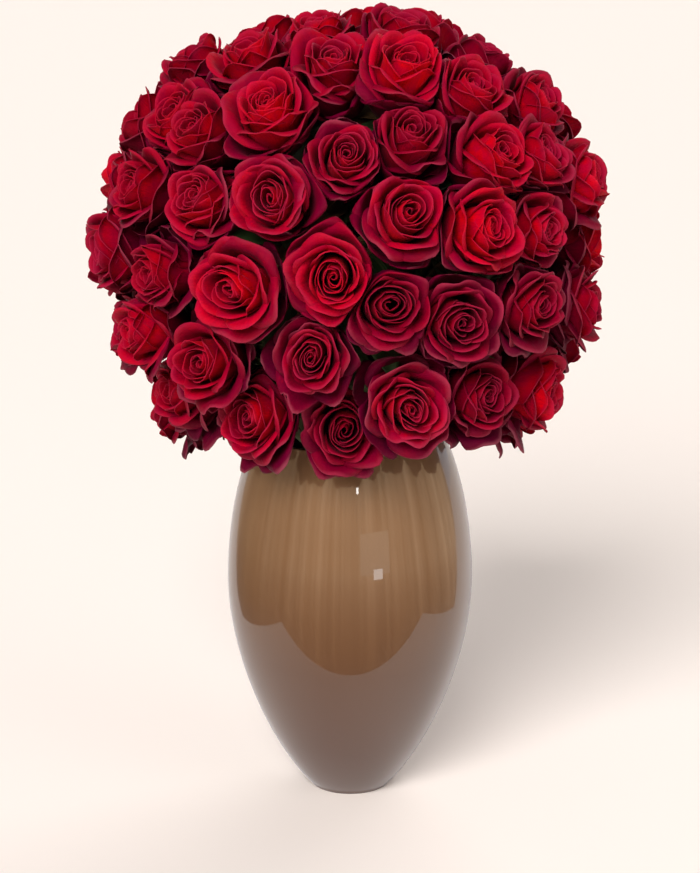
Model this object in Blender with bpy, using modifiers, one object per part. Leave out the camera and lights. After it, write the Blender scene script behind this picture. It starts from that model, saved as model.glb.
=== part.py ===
"""Roses in a vase: a tightly packed, domed bouquet of cut roses standing in a glazed ovoid vase.

Every rose is one closed solid: its flower head, its calyx and its stem, which arches in over the rim
of the vase and runs down between the others to the bottom. The roses at the front are one object each.
The others are joined in twos at the cut ends of their stems, to keep the number of objects within 60.
"""

import math

import bpy
import numpy as np
from mathutils import Vector

# Vase, metres
VASE_HEIGHT = 0.247
BELLY_RADIUS = 0.0825
BELLY_HEIGHT = 0.146
MOUTH_RADIUS = 0.0622
FOOT_RADIUS = 0.0250
WALL = 0.0040
FLOOR_THICKNESS = 0.016
RIM_ROUNDING = 0.0012
FOOT_CHAMFER = 0.0012
LOWER_FULLNESS = 1.8
LOWER_ROUNDNESS = 1.2
VASE_SIDES = 36

# Bouquet: the middles of the flowers' faces lie on an ellipsoid that stands on the vase
BOUQUET_RADIUS = 0.168
BOUQUET_RISE = 0.152
BOUQUET_LIFT = 0.1275
LOWEST_LATITUDE = math.radians(-42)
EDGE_HALF_ROSE = math.radians(10.5)
FREE_AZIMUTH = 1.8
PLACED_FREEDOM = 0.004
CROWDING = 1.15
RELAX_STEP = 0.2
ROSE_COUNT = 92
MOST_OBJECTS = 60

# One rose
HEAD_RADIUS = 0.0345
HEAD_LENGTH = 0.050
HEAD_SIZE_SPREAD = 0.08
STEM_DIAMETER = 0.0052
STEM_GAP = 0.0006
DEPTH_SPREAD = 0.005
LEAST_FACE_TILT = math.radians(3)
HEAD_GAP = 0.0008
SQUEEZE_DEPTH = 0.008
SQUEEZED_FROM = 0.0025
# share of the head's length, share of its radius
HEAD_PROFILE = ((0.11, 0.24), (0.34, 0.74), (0.66, 1.00), (0.88, 0.92), (1.00, 0.46))
HEAD_MIDDLE = 0.62

# Bundle of stems in the vase
STEM_WALL_CLEARANCE = 0.0125
STEM_END_CLEARANCE = 0.0008
HEIGHT_STEP = 0.0005
BUNDLE_TWIST = math.radians(16)
ARCH_EASE = 0.45
ARCH_STEPS = 3
LONGEST_JOIN = 0.016
PARTING_TURNS = 80
NEARLY_PARALLEL = 1e-15

# Where the roses that face forward sit on the dome: degrees round from the front to the right, degrees up
FRONT_ROSES = (
    (-7, 58), (-26, 38), (-37, 15), (-17, 20), (-3, 29), (-44, 35), (-61, 37), (-61, 16),
    (-84, 17), (-45, 57), (-85, 50), (-33, 78), (-80, 33), (-71, 3), (45, 74), (19, 51),
    (17, 34), (40, 45), (37, 30), (68, 56), (67, 41), (55, 25), (75, 20), (51, 10),
    (12, 11), (29, 10), (-48, -1), (-24, -2), (-3, -1), (-79, -21), (-42, -24), (-9, -18),
    (-29, -39), (-68, -36), (-3, -42), (8, -7), (27, -9), (44, -8), (75, -13), (17, -32),
    (36, -32), (64, -33),
)


def vase_outer(height):
    """Outer radius of the vase: a quarter ellipse above the belly, a fuller curve below it."""
    if height < BELLY_HEIGHT:
        share = (1 - height / BELLY_HEIGHT) ** LOWER_FULLNESS
        return FOOT_RADIUS + (BELLY_RADIUS - FOOT_RADIUS) * (1 - share) ** (1 / LOWER_ROUNDNESS)
    above = VASE_HEIGHT - BELLY_HEIGHT
    ellipse_rise = above / math.sqrt(1 - (MOUTH_RADIUS / BELLY_RADIUS) ** 2)
    return BELLY_RADIUS * math.sqrt(1 - ((height - BELLY_HEIGHT) / ellipse_rise) ** 2)


def vase_inner(height):
    """Inner radius: one wall thickness in from the outer surface, measured square to it."""
    step = 0.0005
    slope = (vase_outer(height + step) - vase_outer(height - step)) / (2 * step)
    return vase_outer(height) - WALL * math.sqrt(1 + slope**2)


def lowest_stem_end(radius):
    """Lowest height for the cut end of a stem this far from the vase's axis, clear of its floor and wall."""
    reach = STEM_DIAMETER / 2 + STEM_END_CLEARANCE
    height = FLOOR_THICKNESS
    while vase_inner(height) < radius + reach:
        height += HEIGHT_STEP
    return height + reach


def new_material(name, colour, roughness):
    material = bpy.data.materials.new(name)
    material.use_nodes = True
    shader = material.node_tree.nodes["Principled BSDF"]
    shader.inputs["Base Color"].default_value = (*colour, 1)
    shader.inputs["Roughness"].default_value = roughness
    shader.inputs["Metallic"].default_value = 0
    return material


def make_vase(collection, material):
    """A profile from the middle of the inside floor, up the inside, down the outside and in to the axis."""
    inner_heights = np.linspace(FLOOR_THICKNESS, VASE_HEIGHT - RIM_ROUNDING, 8)
    outer_above = np.linspace(VASE_HEIGHT - RIM_ROUNDING, BELLY_HEIGHT, 6)
    outer_below = BELLY_HEIGHT * np.linspace(1, 0, 10)[1:-1] ** 1.3
    rim_inner = vase_inner(VASE_HEIGHT - RIM_ROUNDING) + RIM_ROUNDING
    rim_outer = vase_outer(VASE_HEIGHT - RIM_ROUNDING) - RIM_ROUNDING
    profile = [(0, FLOOR_THICKNESS)]
    profile += [(vase_inner(z), z) for z in inner_heights]
    profile += [(rim_inner, VASE_HEIGHT), (rim_outer, VASE_HEIGHT)]
    profile += [(vase_outer(z), z) for z in (*outer_above, *outer_below)]
    profile += [(FOOT_RADIUS, FOOT_CHAMFER), (FOOT_RADIUS - FOOT_CHAMFER, 0), (0, 0)]

    mesh = bpy.data.meshes.new("vase")
    mesh.from_pydata([(r, 0, z) for r, z in profile], [(i, i + 1) for i in range(len(profile) - 1)], [])
    vase = bpy.data.objects.new("vase", mesh)
    collection.objects.link(vase)
    turned = vase.modifiers.new("turned", "SCREW")
    turned.steps = turned.render_steps = VASE_SIDES
    turned.use_merge_vertices = True
    turned.merge_threshold = 0.00001
    turned.use_smooth_shade = True
    mesh.materials.append(material)
    return vase


def on_dome(azimuth, latitude):
    """Unit-sphere direction for an azimuth from the front (-Y) towards the right (+X) and a latitude."""
    across = np.cos(latitude)
    return np.stack([across * np.sin(azimuth), -across * np.cos(azimuth), np.sin(latitude)], axis=-1)


def push_apart(points, spacing, hold, turns=400):
    """Moves points away from each other until they are this far apart, as far as hold() lets them go."""
    itself = np.eye(len(points))
    for _ in range(turns):
        apart = points[:, None] - points[None]
        distance = np.linalg.norm(apart, axis=2) + itself
        short = np.clip(spacing - distance, 0, None) * (1 - itself)
        push = (apart / distance[..., None] * short[..., None]).sum(axis=1)
        points = hold(points + RELAX_STEP * push)
    return points


def spread_over_dome():
    """Directions of all the roses: the front ones near their places, the rest where they fill the dome."""
    placed = on_dome(*np.radians(np.array(FRONT_ROSES, float)).T)
    free_count = ROSE_COUNT - len(placed)
    rng = np.random.default_rng(7)
    azimuth = math.pi + rng.uniform(-FREE_AZIMUTH, FREE_AZIMUTH, free_count)
    latitude = np.arcsin(rng.uniform(math.sin(LOWEST_LATITUDE), 1, free_count))
    size = np.array([BOUQUET_RADIUS, BOUQUET_RADIUS, BOUQUET_RISE])
    start = np.concatenate([placed, on_dome(azimuth, latitude)]) * size

    def hold(points):
        """Back on the dome, above its lower edge, the placed ones within their freedom."""
        points = points.copy()
        moved = points[: len(placed)] - start[: len(placed)]
        far = np.linalg.norm(moved, axis=1, keepdims=True)
        points[: len(placed)] -= moved * np.clip(1 - PLACED_FREEDOM / np.maximum(far, 1e-9), 0, 1)
        units = points / size
        units /= np.linalg.norm(units, axis=1, keepdims=True)
        low = units[:, 2] < math.sin(LOWEST_LATITUDE)
        level = np.linalg.norm(units[low, :2], axis=1, keepdims=True)
        units[low, :2] *= math.cos(LOWEST_LATITUDE) / level
        units[low, 2] = math.sin(LOWEST_LATITUDE)
        return units * size

    zone = 2 * math.pi * BOUQUET_RADIUS * BOUQUET_RISE * (1 - math.sin(LOWEST_LATITUDE - EDGE_HALF_ROSE))
    return push_apart(start, hex_spacing(zone) * CROWDING, hold) / size


def hex_spacing(area):
    """Distance between neighbours when the roses share this area evenly."""
    return math.sqrt(2 / math.sqrt(3) * area / ROSE_COUNT)


def place_slots(directions):
    """Where each stem passes the mouth: low roses outside, high roses in the middle, evenly apart."""
    bundle_radius = vase_inner(VASE_HEIGHT - RIM_ROUNDING) - STEM_WALL_CLEARANCE - STEM_DIAMETER / 2
    order = np.argsort(np.argsort(-directions[:, 2]))
    radius = bundle_radius * np.sqrt((order + 0.5) / ROSE_COUNT)
    azimuth = np.arctan2(directions[:, 1], directions[:, 0])
    slots = np.stack([radius * np.cos(azimuth), radius * np.sin(azimuth)], axis=1)

    def hold(points):
        return points * np.minimum(1, bundle_radius / np.linalg.norm(points, axis=1, keepdims=True))

    return push_apart(slots, hex_spacing(math.pi * bundle_radius**2), hold)


class Rose:
    """One rose's own sizes and places."""

    def __init__(self, direction, slot, size, sink):
        ellipsoid = Vector((BOUQUET_RADIUS, BOUQUET_RADIUS, BOUQUET_RISE))
        middle = Vector((0, 0, VASE_HEIGHT + BOUQUET_LIFT))
        normal = Vector([d / e for d, e in zip(direction, ellipsoid)]).normalized()
        tilt = max(math.asin(normal.z), LEAST_FACE_TILT)
        level = Vector((normal.x, normal.y, 0)).normalized()
        self.facing = level * math.cos(tilt) + Vector((0, 0, math.sin(tilt)))
        self.face = middle + Vector([d * e for d, e in zip(direction, ellipsoid)]) - normal * sink
        self.radius = HEAD_RADIUS * size
        self.base = self.face - self.facing * HEAD_LENGTH
        self.middle = self.base + self.facing * HEAD_LENGTH * HEAD_MIDDLE
        self.slot = Vector((slot[0], slot[1], VASE_HEIGHT))
        self.stem_end = lowest_stem_end(self.slot.xy.length)
        self.stem = self.stem_line()

    def head_rings(self):
        """(point, radius) from the top of the head down to the calyx."""
        return [
            (self.base + self.facing * HEAD_LENGTH * share, self.radius * width)
            for share, width in reversed(HEAD_PROFILE)
        ]

    def stem_line(self):
        """Points down the stem: an arch from the calyx to the mouth, then straight down inside the vase."""
        reach = (self.base - self.slot).length
        out_of_head = self.base - self.facing * reach * ARCH_EASE
        above_mouth = self.slot + Vector((0, 0, reach * ARCH_EASE))
        steps = 1 + round(ARCH_STEPS * self.facing.xy.length)
        line = []
        for step in range(steps + 1):
            t = step / steps
            line.append(
                self.base * (1 - t) ** 3
                + out_of_head * 3 * t * (1 - t) ** 2
                + above_mouth * 3 * t**2 * (1 - t)
                + self.slot * t**3
            )
        cos_twist, sin_twist = math.cos(BUNDLE_TWIST), math.sin(BUNDLE_TWIST)
        low_x = self.slot.x * cos_twist - self.slot.y * sin_twist
        low_y = self.slot.x * sin_twist + self.slot.y * cos_twist
        return line + [Vector((low_x, low_y, self.stem_end))]

    def rings(self, end_height):
        """(point, radius) from the top of the head down to the cut end of the stem at this height."""
        cut = Vector((*self.stem[-1].xy, end_height))
        return self.head_rings() + [(point, STEM_DIAMETER / 2) for point in (*self.stem[:-1], cut)]


def nearest_points(start_a, end_a, start_b, end_b):
    """Shares along two sets of straight pieces at which they come nearest each other."""
    along_a, along_b, between = end_a - start_a, end_b - start_b, start_a - start_b
    aa = (along_a**2).sum(axis=1)
    bb = (along_b**2).sum(axis=1)
    ab = (along_a * along_b).sum(axis=1)
    from_a = (along_a * between).sum(axis=1)
    from_b = (along_b * between).sum(axis=1)
    skew = np.maximum(aa * bb - ab * ab, NEARLY_PARALLEL)
    share_a = np.clip((ab * from_b - from_a * bb) / skew, 0, 1)
    share_b = np.clip((ab * share_a + from_b) / bb, 0, 1)
    share_a = np.clip((ab * share_b - from_a) / aa, 0, 1)
    return share_a[:, None], share_b[:, None]


def part_stems(roses):
    """Bends stems that pass too close to each other apart. Their calyxes and their cut ends stay in place."""
    points = np.array([point for rose in roses for point in rose.stem])
    counts = [len(rose.stem) for rose in roses]
    last = np.cumsum(counts) - 1
    movable = np.ones((len(points), 1))
    movable[last] = movable[last - counts + 1] = 0
    owner = np.repeat(np.arange(len(roses)), counts)
    starts = np.setdiff1d(np.arange(len(points)), last)
    first, second = np.triu_indices(len(starts), 1)
    other_rose = owner[starts[first]] != owner[starts[second]]
    a, b = starts[first[other_rose]], starts[second[other_rose]]
    for _ in range(PARTING_TURNS):
        share_a, share_b = nearest_points(points[a], points[a + 1], points[b], points[b + 1])
        on_a = points[a] * (1 - share_a) + points[a + 1] * share_a
        on_b = points[b] * (1 - share_b) + points[b + 1] * share_b
        distance = np.linalg.norm(on_a - on_b, axis=1, keepdims=True)
        short = np.clip(STEM_DIAMETER + STEM_GAP - distance, 0, None)
        if not short.any():
            break
        push = (on_a - on_b) / distance * short / 2
        moves = np.zeros_like(points)
        for place, move in ((a, 1 - share_a), (a + 1, share_a), (b, share_b - 1), (b + 1, -share_b)):
            np.add.at(moves, place, push * move)
        points = points + moves * movable
    for rose, end, count in zip(roses, last, counts):
        rose.stem = [Vector(point) for point in points[end + 1 - count : end + 1]]


def tube(name, points, collection):
    """A closed mesh round a line of (point, radius), made from a bevelled curve."""
    curve = bpy.data.curves.new(name, "CURVE")
    curve.dimensions = "3D"
    curve.bevel_depth = 1
    curve.bevel_resolution = 2
    curve.use_fill_caps = True
    line = curve.splines.new("POLY")
    line.points.add(len(points) - 1)
    for spot, (point, radius) in zip(line.points, points):
        spot.co = (*point, 1)
        spot.radius = radius
    source = bpy.data.objects.new(name + "_line", curve)
    collection.objects.link(source)
    graph = bpy.context.evaluated_depsgraph_get()
    mesh = bpy.data.meshes.new_from_object(source.evaluated_get(graph))
    bpy.data.objects.remove(source)
    bpy.data.curves.remove(curve)
    return mesh


def squeeze(vertices, own, others):
    """Draws the vertices of one rose's head in to its side of the planes halfway to its neighbours."""
    planes = []
    for other in others:
        across = other.middle - own.middle
        if across.length < own.radius + other.radius:
            reach = across.length * own.radius / (own.radius + other.radius) - HEAD_GAP / 2
            planes.append((across.normalized(), reach))
    for vertex in vertices:
        if (vertex.co - own.base).dot(own.facing) < SQUEEZED_FROM:
            continue
        outward = vertex.co - own.middle
        length = outward.length
        for across, reach in planes:
            slant = outward.dot(across) / outward.length
            if slant <= 0:
                continue
            past = length - (reach / slant - SQUEEZE_DEPTH)
            if past > 0:
                length = reach / slant - SQUEEZE_DEPTH * math.exp(-past / SQUEEZE_DEPTH)
        vertex.co = own.middle + outward * length / outward.length


def on_rings(vertex, rings):
    """How nearly a vertex lies on one of these (middle, radius) rings."""
    return min(abs((vertex.co - middle).length - radius) for middle, radius in rings)


def make_rose(name, members, roses, collection, material):
    """One object: a single rose, or two roses joined where their stems are cut."""
    end_height = max(rose.stem_end for rose in members)
    rings = [rose.rings(end_height) for rose in members]
    mesh = tube(name, rings[0] + [ring for others in rings[1:] for ring in reversed(others)], collection)
    owned = [[] for _ in members]
    for vertex in mesh.vertices:
        owned[min(range(len(members)), key=lambda index: on_rings(vertex, rings[index]))].append(vertex)
    for own, vertices in zip(members, owned):
        squeeze(vertices, own, [rose for rose in roses if rose is not own])
    mesh.shade_smooth()
    mesh.set_sharp_from_angle(angle=math.radians(50))
    mesh.materials.clear()
    mesh.materials.append(material)
    rose = bpy.data.objects.new(name, mesh)
    collection.objects.link(rose)


def can_join(one, other, roses):
    """Whether a straight piece between two cut ends stays clear of every other stem."""
    ends = [Vector(rose.stem[-1].xy) for rose in (one, other)]
    along = ends[1] - ends[0]
    for rose in roses:
        if rose in (one, other):
            continue
        cut = Vector(rose.stem[-1].xy)
        share = min(1, max(0, (cut - ends[0]).dot(along) / along.length_squared))
        if (cut - ends[0] - along * share).length < STEM_DIAMETER + STEM_GAP:
            return False
    return along.length < LONGEST_JOIN


def pair_up(roses):
    """Single roses, and roses joined in twos, those furthest back first, each to its nearest free neighbour."""
    singles = sorted(roses, key=lambda rose: -rose.face.y)
    pairs = []
    for rose in singles[:]:
        mates = [other for other in singles if other is not rose and can_join(rose, other, roses)]
        if rose in singles and mates and len(pairs) < ROSE_COUNT + 1 - MOST_OBJECTS:
            mate = min(mates, key=lambda other: (other.slot - rose.slot).length)
            singles.remove(rose)
            singles.remove(mate)
            pairs.append([rose, mate])
    return [[rose] for rose in singles], pairs


def main():
    for old in list(bpy.data.objects):
        bpy.data.objects.remove(old)
    collection = bpy.data.collections.new("roses_in_a_vase")
    bpy.context.scene.collection.children.link(collection)
    petals = new_material("petals", (0.42, 0.005, 0.02), 0.6)
    glaze = new_material("glaze", (0.13, 0.09, 0.075), 0.15)

    make_vase(collection, glaze)
    directions = spread_over_dome()
    slots = place_slots(directions)
    rng = np.random.default_rng(5)
    sizes = 1 + rng.uniform(-HEAD_SIZE_SPREAD, HEAD_SIZE_SPREAD, ROSE_COUNT)
    sinks = rng.uniform(-DEPTH_SPREAD, DEPTH_SPREAD, ROSE_COUNT)
    roses = [Rose(*traits) for traits in zip(directions, slots, sizes, sinks)]
    part_stems(roses)
    singles, pairs = pair_up(roses)
    for number, members in enumerate(singles, 1):
        make_rose(f"rose_{number:02d}", members, roses, collection, petals)
    for number, members in enumerate(pairs, 1):
        make_rose(f"rose_pair_{number:02d}", members, roses, collection, petals)


main()
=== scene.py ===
"""Roses in a vase: petals, stems, leaves and glaze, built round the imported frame."""

import math
from collections import namedtuple

import bpy
import numpy as np
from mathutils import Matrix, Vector


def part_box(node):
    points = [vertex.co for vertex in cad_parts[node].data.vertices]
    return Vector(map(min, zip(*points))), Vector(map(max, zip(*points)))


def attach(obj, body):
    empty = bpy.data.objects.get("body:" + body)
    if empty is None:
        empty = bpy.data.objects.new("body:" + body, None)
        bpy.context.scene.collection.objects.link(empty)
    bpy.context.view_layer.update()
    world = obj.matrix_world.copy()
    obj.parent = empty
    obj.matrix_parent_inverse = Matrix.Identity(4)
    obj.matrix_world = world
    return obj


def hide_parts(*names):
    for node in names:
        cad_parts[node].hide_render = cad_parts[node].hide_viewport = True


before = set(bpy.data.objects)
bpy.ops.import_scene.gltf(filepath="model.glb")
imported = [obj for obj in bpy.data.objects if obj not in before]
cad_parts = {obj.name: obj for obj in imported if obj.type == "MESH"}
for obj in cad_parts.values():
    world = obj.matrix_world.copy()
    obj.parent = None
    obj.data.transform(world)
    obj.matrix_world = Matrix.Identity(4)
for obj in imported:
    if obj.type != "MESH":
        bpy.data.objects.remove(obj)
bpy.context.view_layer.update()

# ---- layout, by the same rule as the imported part

# Vase, metres
VASE_HEIGHT = 0.247
BELLY_RADIUS = 0.0825
BELLY_HEIGHT = 0.146
MOUTH_RADIUS = 0.0622
FOOT_RADIUS = 0.0250
WALL = 0.0040
FLOOR_THICKNESS = 0.016
RIM_ROUNDING = 0.0012
FOOT_CHAMFER = 0.0012
LOWER_FULLNESS = 1.8
LOWER_ROUNDNESS = 1.2

# Bouquet: the middles of the flowers' faces lie on an ellipsoid that stands on the vase
BOUQUET_RADIUS = 0.168
BOUQUET_RISE = 0.152
BOUQUET_LIFT = 0.1275
LOWEST_LATITUDE = math.radians(-42)
EDGE_HALF_ROSE = math.radians(10.5)
FREE_AZIMUTH = 1.8
PLACED_FREEDOM = 0.004
CROWDING = 1.15
RELAX_STEP = 0.2
ROSE_COUNT = 92
MOST_OBJECTS = 60

# One rose
HEAD_RADIUS = 0.0345
HEAD_LENGTH = 0.050
HEAD_SIZE_SPREAD = 0.08
STEM_DIAMETER = 0.0052
STEM_GAP = 0.0006
DEPTH_SPREAD = 0.005
LEAST_FACE_TILT = math.radians(3)
HEAD_MIDDLE = 0.62

# Bundle of stems in the vase
STEM_WALL_CLEARANCE = 0.0125
STEM_END_CLEARANCE = 0.0008
HEIGHT_STEP = 0.0005
BUNDLE_TWIST = math.radians(16)
ARCH_EASE = 0.45
ARCH_STEPS = 3
LONGEST_JOIN = 0.016
PARTING_TURNS = 80
NEARLY_PARALLEL = 1e-15

# Where the roses that face forward sit: degrees round from the front to the right, degrees up
FRONT_ROSES = (
    (-7, 58), (-26, 38), (-37, 15), (-17, 20), (-3, 29), (-44, 35), (-61, 37), (-61, 16),
    (-84, 17), (-45, 57), (-85, 50), (-33, 78), (-80, 33), (-71, 3), (45, 74), (19, 51),
    (17, 34), (40, 45), (37, 30), (68, 56), (67, 41), (55, 25), (75, 20), (51, 10),
    (12, 11), (29, 10), (-48, -1), (-24, -2), (-3, -1), (-79, -21), (-42, -24), (-9, -18),
    (-29, -39), (-68, -36), (-3, -42), (8, -7), (27, -9), (44, -8), (75, -13), (17, -32),
    (36, -32), (64, -33),
)


def vase_outer(height):
    """Outer radius of the vase: a quarter ellipse above the belly, a fuller curve below it."""
    if height < BELLY_HEIGHT:
        share = (1 - height / BELLY_HEIGHT) ** LOWER_FULLNESS
        return FOOT_RADIUS + (BELLY_RADIUS - FOOT_RADIUS) * (1 - share) ** (1 / LOWER_ROUNDNESS)
    above = VASE_HEIGHT - BELLY_HEIGHT
    ellipse_rise = above / math.sqrt(1 - (MOUTH_RADIUS / BELLY_RADIUS) ** 2)
    return BELLY_RADIUS * math.sqrt(1 - ((height - BELLY_HEIGHT) / ellipse_rise) ** 2)


def vase_inner(height):
    """Inner radius: one wall thickness in from the outer surface, measured square to it."""
    step = 0.0005
    slope = (vase_outer(height + step) - vase_outer(height - step)) / (2 * step)
    return vase_outer(height) - WALL * math.sqrt(1 + slope**2)


def lowest_stem_end(radius):
    """Lowest height for a stem's cut end this far from the vase's axis, clear of its floor and wall."""
    reach = STEM_DIAMETER / 2 + STEM_END_CLEARANCE
    height = FLOOR_THICKNESS
    while vase_inner(height) < radius + reach:
        height += HEIGHT_STEP
    return height + reach


def on_dome(azimuth, latitude):
    """Unit direction for a latitude and an azimuth from the front (-Y) towards the right (+X)."""
    across = np.cos(latitude)
    return np.stack([across * np.sin(azimuth), -across * np.cos(azimuth), np.sin(latitude)], axis=-1)


def push_apart(points, spacing, hold, turns=400):
    """Moves points away from each other until this far apart, as far as hold() lets them go."""
    itself = np.eye(len(points))
    for _ in range(turns):
        apart = points[:, None] - points[None]
        distance = np.linalg.norm(apart, axis=2) + itself
        short = np.clip(spacing - distance, 0, None) * (1 - itself)
        push = (apart / distance[..., None] * short[..., None]).sum(axis=1)
        points = hold(points + RELAX_STEP * push)
    return points


def spread_over_dome():
    """Directions of all the roses: the front ones near their places, the rest filling the dome."""
    placed = on_dome(*np.radians(np.array(FRONT_ROSES, float)).T)
    free_count = ROSE_COUNT - len(placed)
    rng = np.random.default_rng(7)
    azimuth = math.pi + rng.uniform(-FREE_AZIMUTH, FREE_AZIMUTH, free_count)
    latitude = np.arcsin(rng.uniform(math.sin(LOWEST_LATITUDE), 1, free_count))
    size = np.array([BOUQUET_RADIUS, BOUQUET_RADIUS, BOUQUET_RISE])
    start = np.concatenate([placed, on_dome(azimuth, latitude)]) * size

    def hold(points):
        """Back on the dome, above its lower edge, the placed ones within their freedom."""
        points = points.copy()
        moved = points[: len(placed)] - start[: len(placed)]
        far = np.linalg.norm(moved, axis=1, keepdims=True)
        points[: len(placed)] -= moved * np.clip(1 - PLACED_FREEDOM / np.maximum(far, 1e-9), 0, 1)
        units = points / size
        units /= np.linalg.norm(units, axis=1, keepdims=True)
        low = units[:, 2] < math.sin(LOWEST_LATITUDE)
        level = np.linalg.norm(units[low, :2], axis=1, keepdims=True)
        units[low, :2] *= math.cos(LOWEST_LATITUDE) / level
        units[low, 2] = math.sin(LOWEST_LATITUDE)
        return units * size

    zone = 2 * math.pi * BOUQUET_RADIUS * BOUQUET_RISE * (1 - math.sin(LOWEST_LATITUDE - EDGE_HALF_ROSE))
    return push_apart(start, hex_spacing(zone) * CROWDING, hold) / size


def hex_spacing(area):
    """Distance between neighbours when the roses share this area evenly."""
    return math.sqrt(2 / math.sqrt(3) * area / ROSE_COUNT)


def place_slots(directions):
    """Where each stem passes the mouth: low roses outside, high roses in the middle, evenly apart."""
    bundle_radius = vase_inner(VASE_HEIGHT - RIM_ROUNDING) - STEM_WALL_CLEARANCE - STEM_DIAMETER / 2
    order = np.argsort(np.argsort(-directions[:, 2]))
    radius = bundle_radius * np.sqrt((order + 0.5) / ROSE_COUNT)
    azimuth = np.arctan2(directions[:, 1], directions[:, 0])
    slots = np.stack([radius * np.cos(azimuth), radius * np.sin(azimuth)], axis=1)

    def hold(points):
        return points * np.minimum(1, bundle_radius / np.linalg.norm(points, axis=1, keepdims=True))

    return push_apart(slots, hex_spacing(math.pi * bundle_radius**2), hold)


class Rose:
    """One rose's own sizes and places."""

    def __init__(self, direction, slot, size, sink):
        ellipsoid = Vector((BOUQUET_RADIUS, BOUQUET_RADIUS, BOUQUET_RISE))
        middle = Vector((0, 0, VASE_HEIGHT + BOUQUET_LIFT))
        normal = Vector([d / e for d, e in zip(direction, ellipsoid)]).normalized()
        tilt = max(math.asin(normal.z), LEAST_FACE_TILT)
        level = Vector((normal.x, normal.y, 0)).normalized()
        self.facing = level * math.cos(tilt) + Vector((0, 0, math.sin(tilt)))
        self.face = middle + Vector([d * e for d, e in zip(direction, ellipsoid)]) - normal * sink
        self.size = size
        self.radius = HEAD_RADIUS * size
        self.base = self.face - self.facing * HEAD_LENGTH
        self.middle = self.base + self.facing * HEAD_LENGTH * HEAD_MIDDLE
        self.slot = Vector((slot[0], slot[1], VASE_HEIGHT))
        self.stem_end = lowest_stem_end(self.slot.xy.length)
        self.stem = self.stem_line()

    def stem_line(self):
        """Points down the stem: an arch from the calyx to the mouth, then straight down inside."""
        reach = (self.base - self.slot).length
        out_of_head = self.base - self.facing * reach * ARCH_EASE
        above_mouth = self.slot + Vector((0, 0, reach * ARCH_EASE))
        steps = 1 + round(ARCH_STEPS * self.facing.xy.length)
        line = []
        for step in range(steps + 1):
            t = step / steps
            line.append(
                self.base * (1 - t) ** 3
                + out_of_head * 3 * t * (1 - t) ** 2
                + above_mouth * 3 * t**2 * (1 - t)
                + self.slot * t**3
            )
        cos_twist, sin_twist = math.cos(BUNDLE_TWIST), math.sin(BUNDLE_TWIST)
        low_x = self.slot.x * cos_twist - self.slot.y * sin_twist
        low_y = self.slot.x * sin_twist + self.slot.y * cos_twist
        return line + [Vector((low_x, low_y, self.stem_end))]


def nearest_points(start_a, end_a, start_b, end_b):
    """Shares along two sets of straight pieces at which they come nearest each other."""
    along_a, along_b, between = end_a - start_a, end_b - start_b, start_a - start_b
    aa = (along_a**2).sum(axis=1)
    bb = (along_b**2).sum(axis=1)
    ab = (along_a * along_b).sum(axis=1)
    from_a = (along_a * between).sum(axis=1)
    from_b = (along_b * between).sum(axis=1)
    skew = np.maximum(aa * bb - ab * ab, NEARLY_PARALLEL)
    share_a = np.clip((ab * from_b - from_a * bb) / skew, 0, 1)
    share_b = np.clip((ab * share_a + from_b) / bb, 0, 1)
    share_a = np.clip((ab * share_b - from_a) / aa, 0, 1)
    return share_a[:, None], share_b[:, None]


def part_stems(roses):
    """Bends stems that come too close apart. Their calyxes and their cut ends stay in place."""
    points = np.array([point for rose in roses for point in rose.stem])
    counts = [len(rose.stem) for rose in roses]
    last = np.cumsum(counts) - 1
    movable = np.ones((len(points), 1))
    movable[last] = movable[last - counts + 1] = 0
    owner = np.repeat(np.arange(len(roses)), counts)
    starts = np.setdiff1d(np.arange(len(points)), last)
    first, second = np.triu_indices(len(starts), 1)
    other_rose = owner[starts[first]] != owner[starts[second]]
    a, b = starts[first[other_rose]], starts[second[other_rose]]
    for _ in range(PARTING_TURNS):
        share_a, share_b = nearest_points(points[a], points[a + 1], points[b], points[b + 1])
        on_a = points[a] * (1 - share_a) + points[a + 1] * share_a
        on_b = points[b] * (1 - share_b) + points[b + 1] * share_b
        distance = np.linalg.norm(on_a - on_b, axis=1, keepdims=True)
        short = np.clip(STEM_DIAMETER + STEM_GAP - distance, 0, None)
        if not short.any():
            break
        push = (on_a - on_b) / distance * short / 2
        moves = np.zeros_like(points)
        for place, move in ((a, 1 - share_a), (a + 1, share_a), (b, share_b - 1), (b + 1, -share_b)):
            np.add.at(moves, place, push * move)
        points = points + moves * movable
    for rose, end, count in zip(roses, last, counts):
        rose.stem = [Vector(point) for point in points[end + 1 - count : end + 1]]


def can_join(one, other, roses):
    """Whether a straight piece between two cut ends stays clear of every other stem."""
    ends = [Vector(rose.stem[-1].xy) for rose in (one, other)]
    along = ends[1] - ends[0]
    for rose in roses:
        if rose in (one, other):
            continue
        cut = Vector(rose.stem[-1].xy)
        share = min(1, max(0, (cut - ends[0]).dot(along) / along.length_squared))
        if (cut - ends[0] - along * share).length < STEM_DIAMETER + STEM_GAP:
            return False
    return along.length < LONGEST_JOIN


def pair_up(roses):
    """Single roses, and roses joined in twos: from the back, each to its nearest free neighbour."""
    singles = sorted(roses, key=lambda rose: -rose.face.y)
    pairs = []
    for rose in singles[:]:
        mates = [other for other in singles if other is not rose and can_join(rose, other, roses)]
        if rose in singles and mates and len(pairs) < ROSE_COUNT + 1 - MOST_OBJECTS:
            mate = min(mates, key=lambda other: (other.slot - rose.slot).length)
            singles.remove(rose)
            singles.remove(mate)
            pairs.append([rose, mate])
    return [[rose] for rose in singles], pairs


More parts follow.
